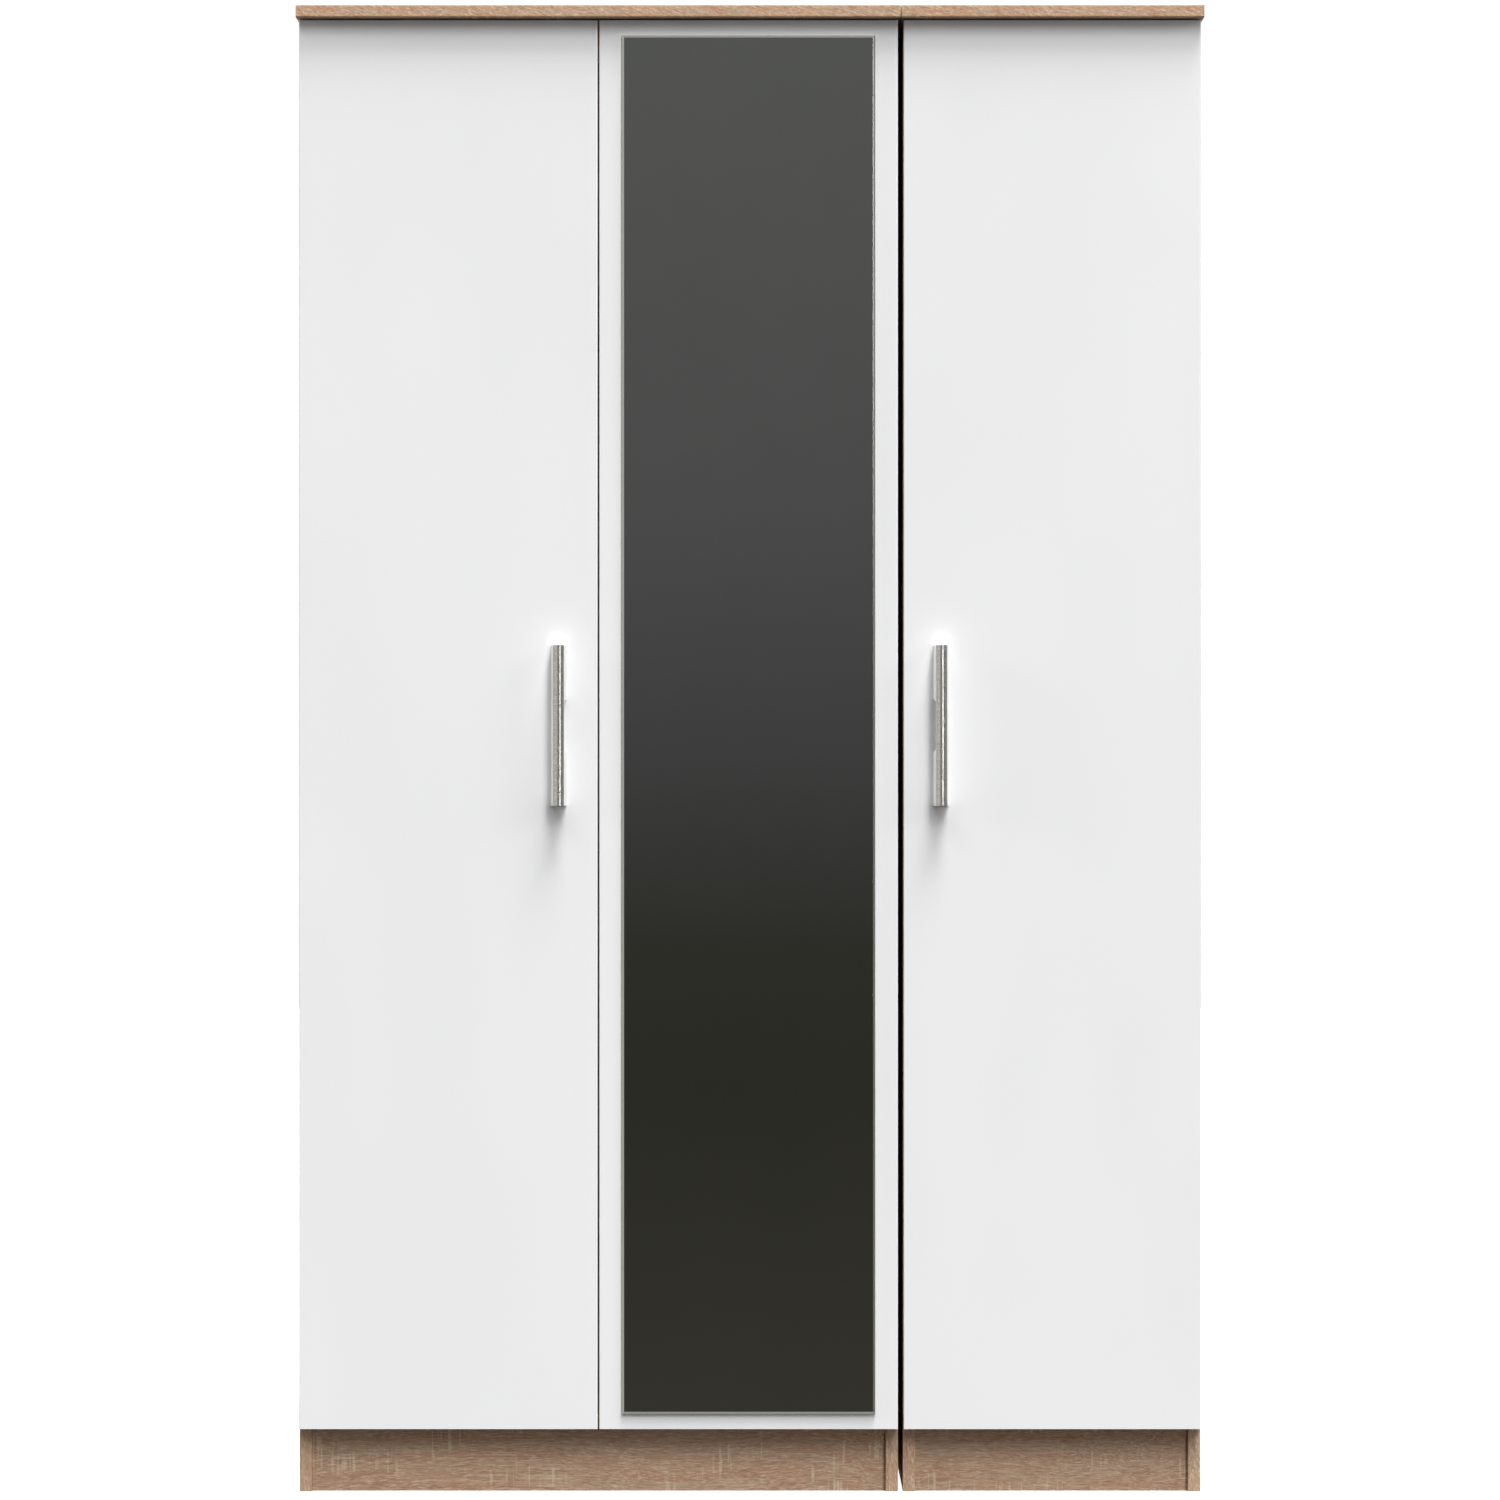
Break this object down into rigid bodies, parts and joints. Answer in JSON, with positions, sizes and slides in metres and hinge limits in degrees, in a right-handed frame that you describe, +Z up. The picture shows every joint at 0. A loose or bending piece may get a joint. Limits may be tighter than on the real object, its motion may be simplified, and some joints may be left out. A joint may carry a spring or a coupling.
{
  "type": "three-door wardrobe",
  "caption": "Free-standing wardrobe of a double and a single unit side by side, with white gloss doors, a mirror door, oak-look boards, concealed hinges and inner hanging rails.",
  "frame": {"origin": "middle of the footprint on the floor", "axes": "+X to the right seen from the front, +Y from the doors to the wall, +Z up"},
  "size_m": [1.11, 0.543, 1.82],
  "materials": {
    "oak_laminate": "matte laminate, light rustic oak, horizontal or upright grain",
    "hardboard": "matte",
    "joint_strip": "matte",
    "chrome_rail": "polished",
    "zinc_screws": "zinc plated",
    "zinc_fittings": "die-cast zinc",
    "spacer_plastic": "matte",
    "hinge_steel": "nickel plated",
    "pin_steel": "bright",
    "white_gloss": "white gloss foil on board",
    "buffer_plastic": "translucent, soft",
    "handle_metal": "satin brushed",
    "mirror_silver": "silvered glass with a polished bevel",
    "tape_foam": "matte"
  },
  "bodies": {
    "carcass": {"double_top": "oak_laminate", "double_side_left": "oak_laminate", "double_side_right": "oak_laminate", "double_base": "oak_laminate", "double_shelf": "oak_laminate", "double_plinth": "oak_laminate", "double_rear_plinth": "oak_laminate", "double_front_rail": "oak_laminate", "double_wall_rail": "oak_laminate", "double_back_left": "hardboard", "double_back_right": "hardboard", "back_joint_strip": "joint_strip", "single_top": "oak_laminate", "single_side_left": "oak_laminate", "single_side_right": "oak_laminate", "single_base": "oak_laminate", "single_shelf": "oak_laminate", "single_plinth": "oak_laminate", "single_rear_plinth": "oak_laminate", "single_front_rail": "oak_laminate", "single_wall_rail": "oak_laminate", "single_back": "hardboard", "double_hanging_rail": "chrome_rail", "single_hanging_rail": "chrome_rail", "rail_sockets": "chrome_rail", "rail_socket_screws": "zinc_screws", "cam_locks": "zinc_fittings", "cam_bolts": "zinc_fittings", "unit_link_bolts": "zinc_fittings", "unit_link_spacers": "spacer_plastic", "hinge_plates": "hinge_steel", "hinge_plate_screws": "zinc_screws", "hinge_arms": "hinge_steel", "hinge_arm_pins": "pin_steel"},
    "left_links": {"left_hinge_links": "hinge_steel"},
    "left_leaf": {"left_door": "white_gloss", "left_hinge_cups": "hinge_steel", "left_cup_screws": "zinc_screws", "left_cup_pins": "pin_steel", "left_buffers": "buffer_plastic", "left_handle": "handle_metal", "left_handle_screws": "zinc_screws"},
    "mirror_links": {"mirror_hinge_links": "hinge_steel"},
    "mirror_leaf": {"mirror_door": "white_gloss", "mirror_glass": "mirror_silver", "mirror_tape": "tape_foam", "mirror_hinge_cups": "hinge_steel", "mirror_cup_screws": "zinc_screws", "mirror_cup_pins": "pin_steel", "mirror_buffers": "buffer_plastic"},
    "right_links": {"right_hinge_links": "hinge_steel"},
    "right_leaf": {"right_door": "white_gloss", "right_hinge_cups": "hinge_steel", "right_cup_screws": "zinc_screws", "right_cup_pins": "pin_steel", "right_buffers": "buffer_plastic", "right_handle": "handle_metal", "right_handle_screws": "zinc_screws"}
  },
  "joints": [
    {"name": "left_link_swing", "type": "hinge", "parent": "carcass", "child": "left_links", "pos_m": [-0.5189, -0.2335, 0.941], "axis": [0, 0, 1], "range_deg": [0, 28.8]},
    {"name": "left_door_swing", "type": "hinge", "parent": "left_links", "child": "left_leaf", "pos_m": [-0.5399, -0.2335, 0.941], "axis": [0, 0, -1], "range_deg": [0, 118.8]},
    {"name": "mirror_link_swing", "type": "hinge", "parent": "carcass", "child": "mirror_links", "pos_m": [0.1479, -0.2335, 0.941], "axis": [0, 0, -1], "range_deg": [0, 28.8]},
    {"name": "mirror_door_swing", "type": "hinge", "parent": "mirror_links", "child": "mirror_leaf", "pos_m": [0.1689, -0.2335, 0.941], "axis": [0, 0, 1], "range_deg": [0, 118.8]},
    {"name": "right_link_swing", "type": "hinge", "parent": "carcass", "child": "right_links", "pos_m": [0.5189, -0.2335, 0.941], "axis": [0, 0, -1], "range_deg": [0, 28.8]},
    {"name": "right_door_swing", "type": "hinge", "parent": "right_links", "child": "right_leaf", "pos_m": [0.5399, -0.2335, 0.941], "axis": [0, 0, 1], "range_deg": [0, 118.8]}
  ],
  "couplings": [
    {"joint": "left_link_swing", "follows": "left_door_swing", "ratio": 0.2424},
    {"joint": "mirror_link_swing", "follows": "mirror_door_swing", "ratio": 0.2424},
    {"joint": "right_link_swing", "follows": "right_door_swing", "ratio": 0.2424}
  ]
}
